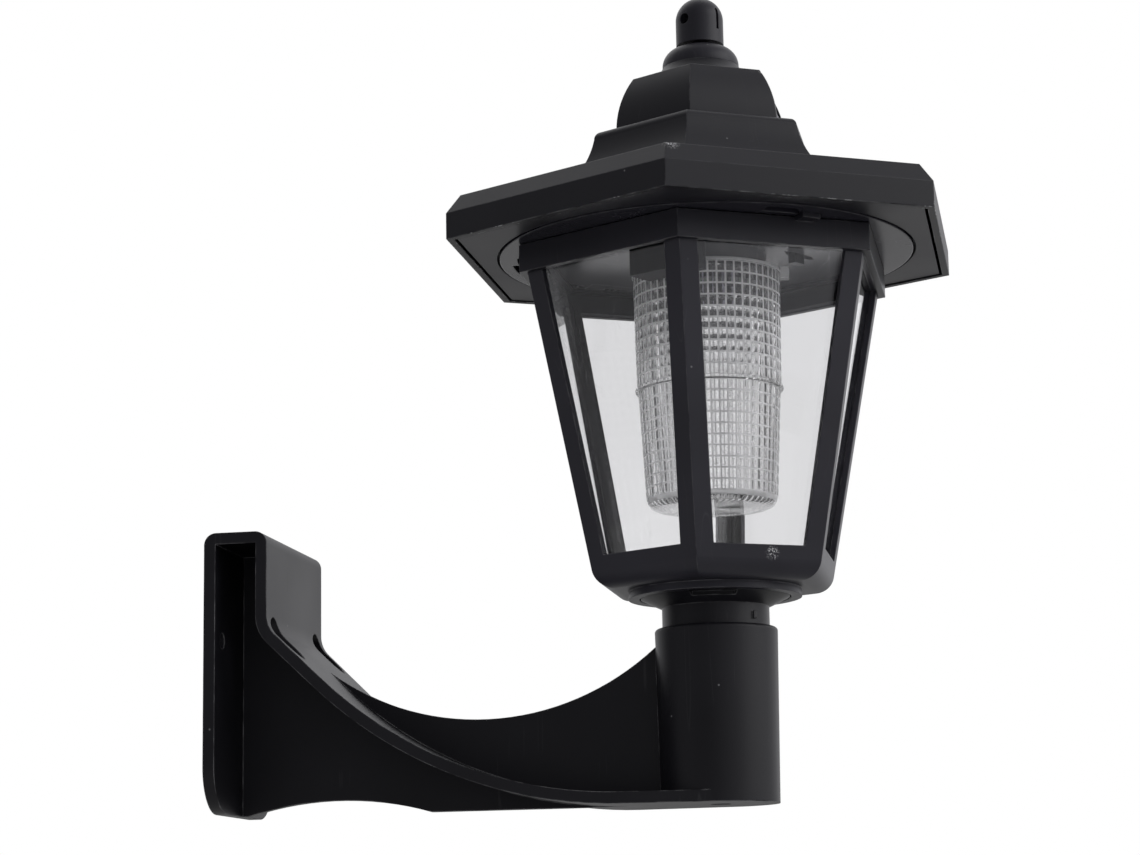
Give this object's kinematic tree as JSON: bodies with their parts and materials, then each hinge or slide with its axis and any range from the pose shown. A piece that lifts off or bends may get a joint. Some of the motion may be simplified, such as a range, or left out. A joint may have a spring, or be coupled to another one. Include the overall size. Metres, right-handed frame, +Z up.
{
  "type": "solar wall lantern",
  "caption": "Hexagonal solar wall lantern with a clear-paned cage and prismatic diffuser under a tiered roof, plugged into a curved black wall bracket.",
  "frame": {"origin": "on the wall, midway between the two screw holes of the wall plate", "axes": "+X out from the wall towards the lantern, +Y along the wall, +Z up"},
  "size_m": [0.2136, 0.16, 0.24],
  "materials": {
    "bracket_plastic": "black moulded plastic, slightly scuffed",
    "adaptor_plastic": "black moulded plastic",
    "cage_plastic": "black moulded plastic, slightly scuffed",
    "roof_plastic": "black moulded plastic, satin",
    "ceiling_plastic": "black moulded plastic, satin",
    "finial_plastic": "black moulded plastic, matt",
    "switch_plastic": "black moulded plastic",
    "pane_clear": "clear moulded plastic",
    "diffuser_clear": "clear plastic with a grid of small prisms",
    "bezel_plastic": "pale grey plastic",
    "solar_face": "dark blue resin over the cell",
    "board": "green lacquered board",
    "lamp_resin": "clear resin",
    "cell_wrap": "wrapped metal can",
    "contact_metal": "plated spring steel",
    "nut_metal": "plated steel",
    "wire_skin": "soft insulation"
  },
  "bodies": {
    "bracket": {"wall_bracket": "bracket_plastic"},
    "adaptor": {"post_adaptor": "adaptor_plastic"},
    "cage": {"cage_frame": "cage_plastic", "cage_top_ring": "cage_plastic", "pane_1": "pane_clear", "pane_2": "pane_clear", "pane_3": "pane_clear", "pane_4": "pane_clear", "pane_5": "pane_clear", "pane_6": "pane_clear"},
    "diffuser": {"diffuser": "diffuser_clear"},
    "switch": {"switch_knob": "switch_plastic"},
    "roof": {"roof_cap": "roof_plastic", "solar_bezel": "bezel_plastic", "solar_cell": "solar_face", "finial_collar": "finial_plastic", "finial_knob": "finial_plastic", "finial_nut": "nut_metal", "roof_base_plate": "ceiling_plastic", "ceiling_disc": "ceiling_plastic", "battery_door": "ceiling_plastic", "battery_cell": "cell_wrap", "battery_contacts": "contact_metal", "circuit_cover": "ceiling_plastic", "circuit_board": "board", "led_board": "board", "led_lamp": "lamp_resin", "switch_body": "switch_plastic", "panel_wires": "wire_skin", "led_wires": "wire_skin", "battery_wires": "wire_skin"}
  },
  "joints": [
    {"name": "lantern_lift", "type": "slide", "parent": "bracket", "child": "adaptor", "axis": [0, 0, 1], "range_m": [0, 0.03]},
    {"name": "cage_twist", "type": "hinge", "parent": "adaptor", "child": "cage", "pos_m": [0.1443, 0, 0.0115], "axis": [0, 0, 1], "range_deg": [0, 25]},
    {"name": "roof_twist", "type": "hinge", "parent": "cage", "child": "roof", "pos_m": [0.1443, 0, 0.1105], "axis": [0, 0, 1], "range_deg": [0, 10]},
    {"name": "diffuser_twist", "type": "hinge", "parent": "roof", "child": "diffuser", "pos_m": [0.1443, 0, 0.1055], "axis": [0, 0, 1], "range_deg": [0, 24]},
    {"name": "switch_slide", "type": "slide", "parent": "roof", "child": "switch", "axis": [0.5, 0.866, 0], "range_m": [0, 0.003]}
  ]
}
